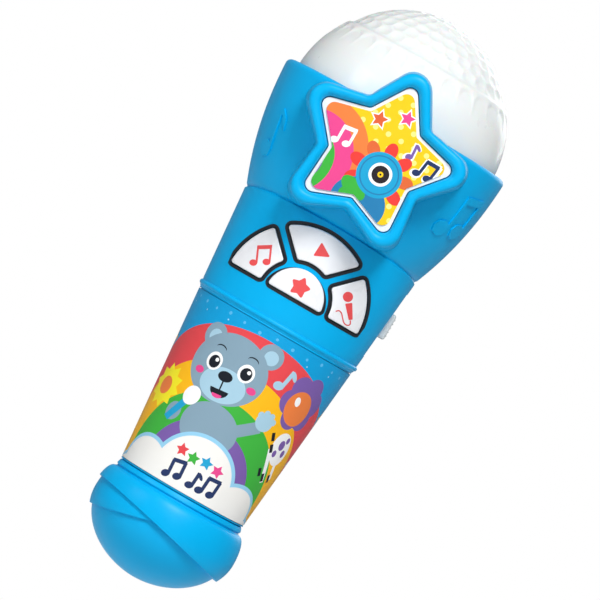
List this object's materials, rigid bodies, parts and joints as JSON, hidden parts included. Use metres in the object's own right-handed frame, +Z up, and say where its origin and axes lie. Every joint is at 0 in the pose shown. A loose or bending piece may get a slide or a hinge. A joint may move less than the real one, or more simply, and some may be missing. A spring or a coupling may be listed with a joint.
{
  "type": "toy microphone",
  "caption": "Toy sing-along microphone: tapered grip, panel of play keys, star window on a flared collar, light-up dome, slide switch and rear battery door.",
  "frame": {"origin": "on the microphone's axis, halfway up the grip", "axes": "+Z up the axis from the end cap to the dome; -Y is the front, which the star and the keys face; +X is the right-hand side, where the slide switch is"},
  "size_m": [0.094, 0.1, 0.2403],
  "materials": {
    "blue_plastic": "satin moulded sky-blue plastic",
    "dome_white": "milky translucent moulded plastic",
    "white_plastic": "white moulded plastic",
    "label_print": "satin printed film, many colours",
    "picture_print": "satin printed film, many colours",
    "grey_rubber": "matt silicone rubber",
    "board_green": "green solder mask",
    "chip_black": "matt black moulding",
    "led_clear": "clear epoxy",
    "steel": "zinc-plated",
    "magnet": "plated metal can",
    "paper_cone": "matt black pressed paper",
    "grey_plastic": "satin light grey plastic",
    "black_plastic": "matt black plastic",
    "cell_wrap": "glossy shrink wrap over a steel can",
    "wire_red": "red wire insulation",
    "wire_black": "black wire insulation"
  },
  "bodies": {
    "housing": {"front_shell": "blue_plastic", "rear_shell": "blue_plastic", "end_cap": "blue_plastic", "grip_label": "label_print", "dome": "dome_white", "star_bezel": "blue_plastic", "star_window": "white_plastic", "star_picture": "picture_print", "keypad_membrane": "grey_rubber", "main_board": "board_green", "sound_chip": "chip_black", "capacitor": "magnet", "led_board": "board_green", "dome_led_1": "led_clear", "dome_led_2": "led_clear", "dome_led_3": "led_clear", "star_led": "led_clear", "mic_capsule": "magnet", "speaker_frame": "steel", "speaker_cone": "paper_cone", "speaker_magnet": "magnet", "switch_body": "black_plastic", "battery_tray": "grey_plastic", "battery_cell_1": "cell_wrap", "battery_cell_2": "cell_wrap", "battery_spring_1": "steel", "battery_spring_2": "steel", "battery_contact_top": "steel", "battery_contact_bottom": "steel", "case_screw_1": "steel", "case_screw_2": "steel", "case_screw_3": "steel", "case_screw_4": "steel", "case_screw_5": "steel", "case_screw_6": "steel", "board_screw_1": "steel", "board_screw_2": "steel", "board_screw_3": "steel", "board_screw_4": "steel", "bezel_screw_left": "steel", "bezel_screw_right": "steel", "battery_lead_red": "wire_red", "battery_lead_black": "wire_black", "speaker_lead_red": "wire_red", "speaker_lead_black": "wire_black", "led_lead": "wire_red", "switch_lead": "wire_black"},
    "play_button": {"play_key": "white_plastic"},
    "note_button": {"note_key": "white_plastic"},
    "record_button": {"record_key": "white_plastic"},
    "star_button": {"star_key": "white_plastic"},
    "power_slider": {"switch_knob": "grey_plastic"},
    "battery_cover": {"battery_door": "blue_plastic", "door_screw": "steel"}
  },
  "joints": [
    {"name": "play_press", "type": "slide", "parent": "housing", "child": "play_button", "axis": [0, 1, 0], "range_m": [0, 0.0012], "stiffness_N_per_m": 600, "springref_m": -0.0005},
    {"name": "note_press", "type": "slide", "parent": "housing", "child": "note_button", "axis": [0, 1, 0], "range_m": [0, 0.0012], "stiffness_N_per_m": 600, "springref_m": -0.0005},
    {"name": "record_press", "type": "slide", "parent": "housing", "child": "record_button", "axis": [0, 1, 0], "range_m": [0, 0.0012], "stiffness_N_per_m": 600, "springref_m": -0.0005},
    {"name": "star_press", "type": "slide", "parent": "housing", "child": "star_button", "axis": [0, 1, 0], "range_m": [0, 0.0012], "stiffness_N_per_m": 600, "springref_m": -0.0005},
    {"name": "power_slide", "type": "slide", "parent": "housing", "child": "power_slider", "axis": [0, 0, 1], "range_m": [-0.004, 0.004]},
    {"name": "cover_hinge", "type": "hinge", "parent": "housing", "child": "battery_cover", "pos_m": [0, 0.0272, -0.031], "axis": [-1, 0, 0], "range_deg": [0, 35]}
  ]
}
